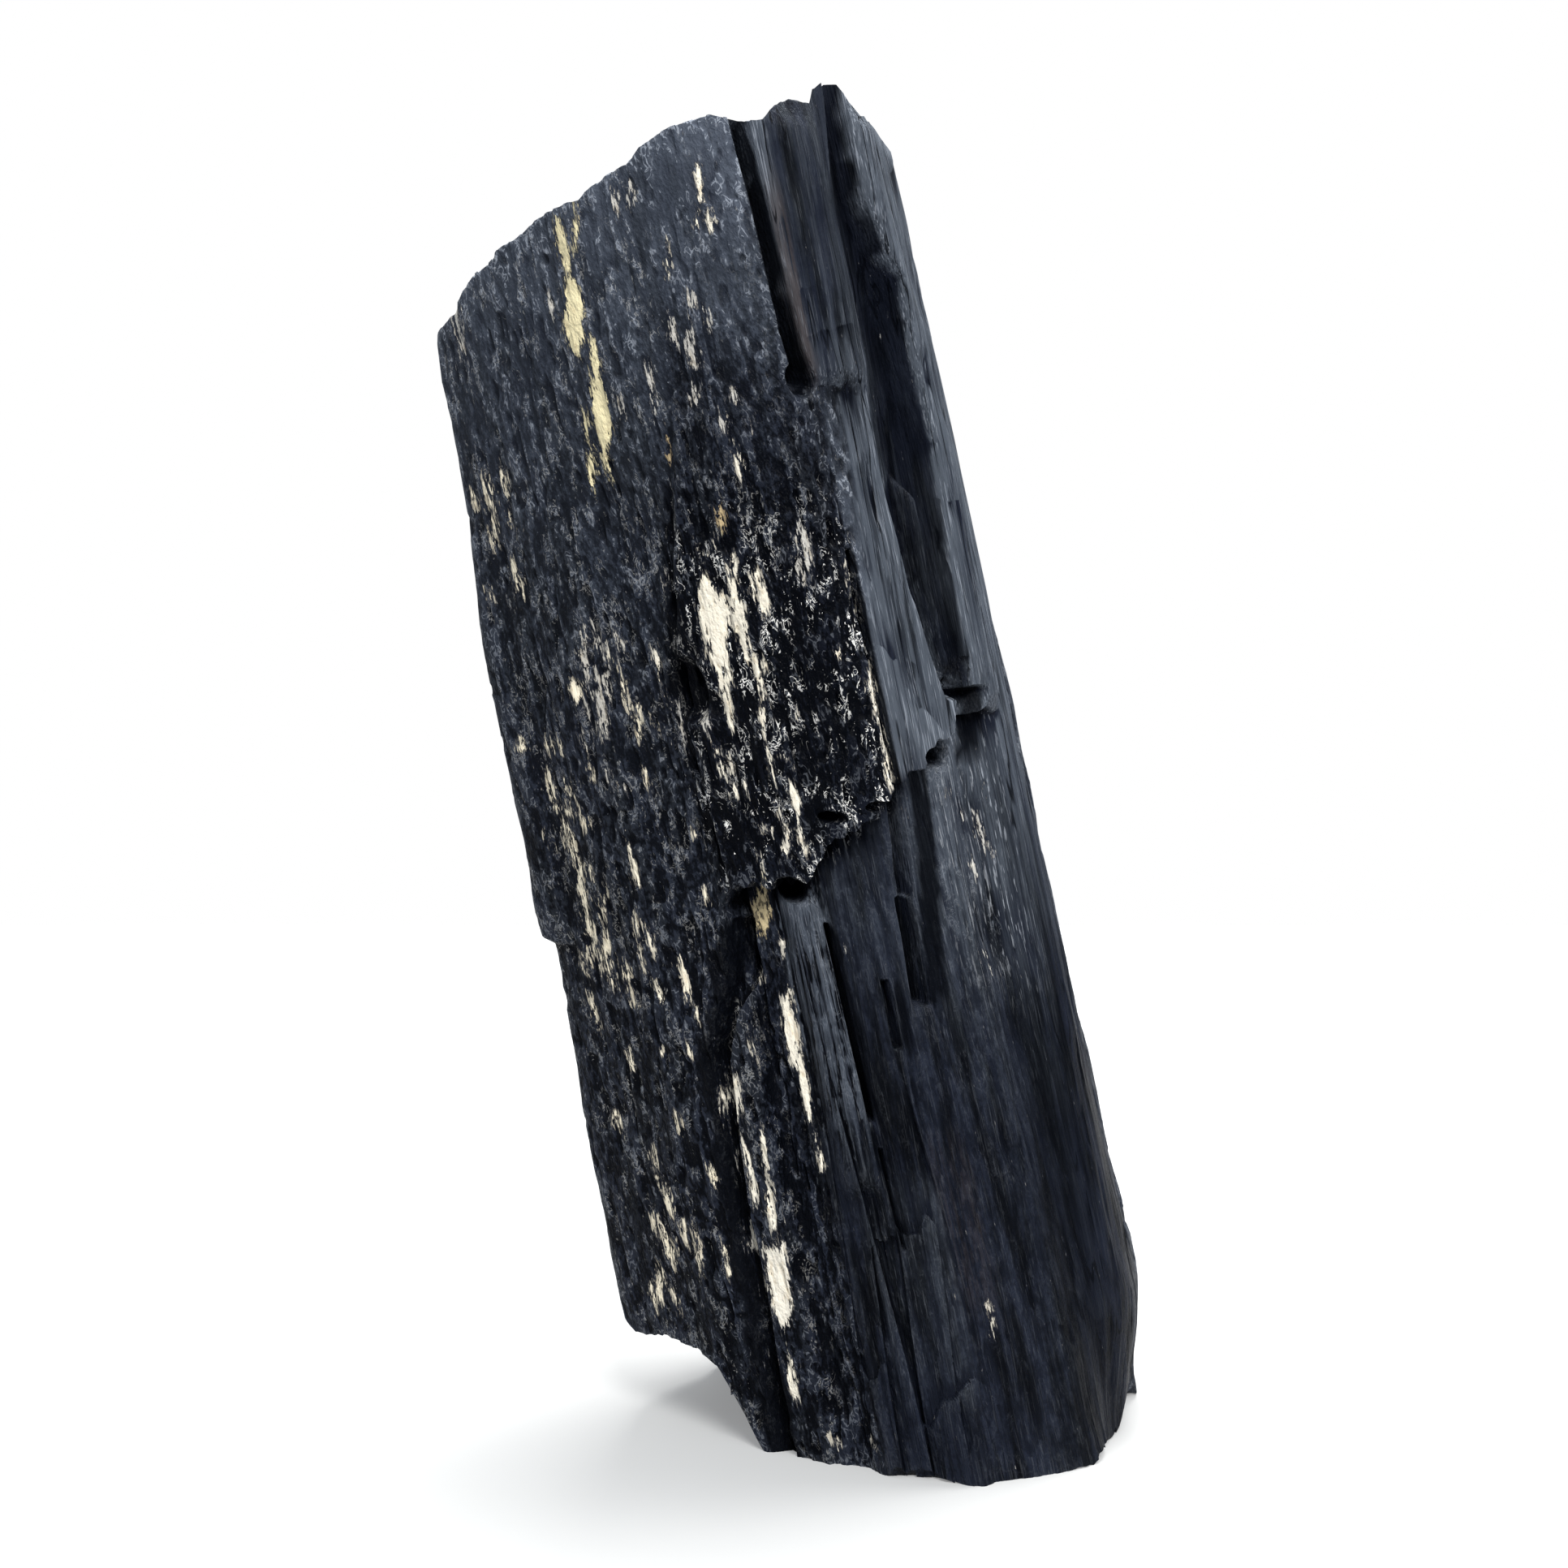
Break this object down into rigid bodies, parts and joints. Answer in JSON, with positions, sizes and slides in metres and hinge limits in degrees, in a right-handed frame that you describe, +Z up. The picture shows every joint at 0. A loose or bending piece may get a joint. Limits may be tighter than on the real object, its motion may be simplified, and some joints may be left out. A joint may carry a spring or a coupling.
{
  "type": "black tourmaline crystal",
  "caption": "Rough black tourmaline log with striated splinter columns, deep grooves, a broken front slab and ragged broken ends, standing on its lower break.",
  "frame": {"origin": "centre of the bounding box in plan, on the plane that the crystal stands on", "axes": "+Z up, with the crystal's long axis leaning from it by about 12.5 degrees towards -X and slightly +Y; -Y is the front with the broken slab"},
  "size_m": [0.0575, 0.0398, 0.1066],
  "materials": {
    "schorl": "blue-black, striated along its length, dull to satin, with cream clay and mica flecks in its cracks"
  },
  "bodies": {
    "root": {"tourmaline_crystal": "schorl"}
  },
  "joints": []
}
